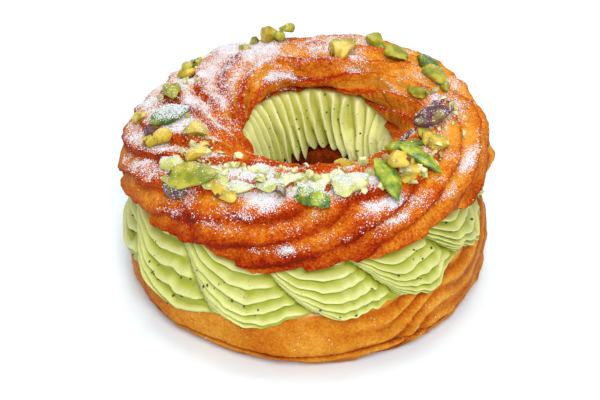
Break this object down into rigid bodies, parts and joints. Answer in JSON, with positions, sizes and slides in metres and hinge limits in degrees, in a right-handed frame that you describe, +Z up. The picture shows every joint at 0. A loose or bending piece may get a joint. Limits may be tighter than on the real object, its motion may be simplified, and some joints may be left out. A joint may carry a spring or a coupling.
{
  "type": "paris brest pastry",
  "caption": "Ring of choux pastry split flat, filled with piped pistachio cream, topped with chopped pistachios and icing sugar.",
  "frame": {"origin": "centre of the ring's outline, on the surface that it rests on", "axes": "+Z up through the hole, -Y towards the side that faces the viewer, +X to that viewer's right"},
  "size_m": [0.1038, 0.1029, 0.0591],
  "materials": {
    "choux_base": "baked, satin",
    "pistachio_cream": "smooth whipped cream",
    "choux_lid": "egg-washed and baked, satin",
    "pistachio_green": "cut nut, dull",
    "pistachio_yellow": "cut nut, dull",
    "pistachio_skin": "nut skin, dull",
    "icing_sugar": "dry powder"
  },
  "bodies": {
    "root": {"crust_base": "choux_base", "cream_ring": "pistachio_cream", "crust_lid": "choux_lid", "pistachio_long": "pistachio_green", "pistachio_bright": "pistachio_green", "pistachio_chunk": "pistachio_yellow", "pistachio_dark": "pistachio_green", "pistachio_slab": "pistachio_green", "pistachio_yellow": "pistachio_yellow", "pistachio_leaf_a": "pistachio_green", "pistachio_leaf_b": "pistachio_green", "pistachio_purple": "pistachio_skin", "pistachio_cluster_a": "pistachio_green", "pistachio_cluster_b": "pistachio_green", "pistachio_round": "pistachio_green", "pistachio_pale": "pistachio_yellow", "pistachio_green": "pistachio_green", "pistachio_heaped": "pistachio_green", "pistachio_two_tone": "pistachio_yellow"}
  },
  "joints": []
}
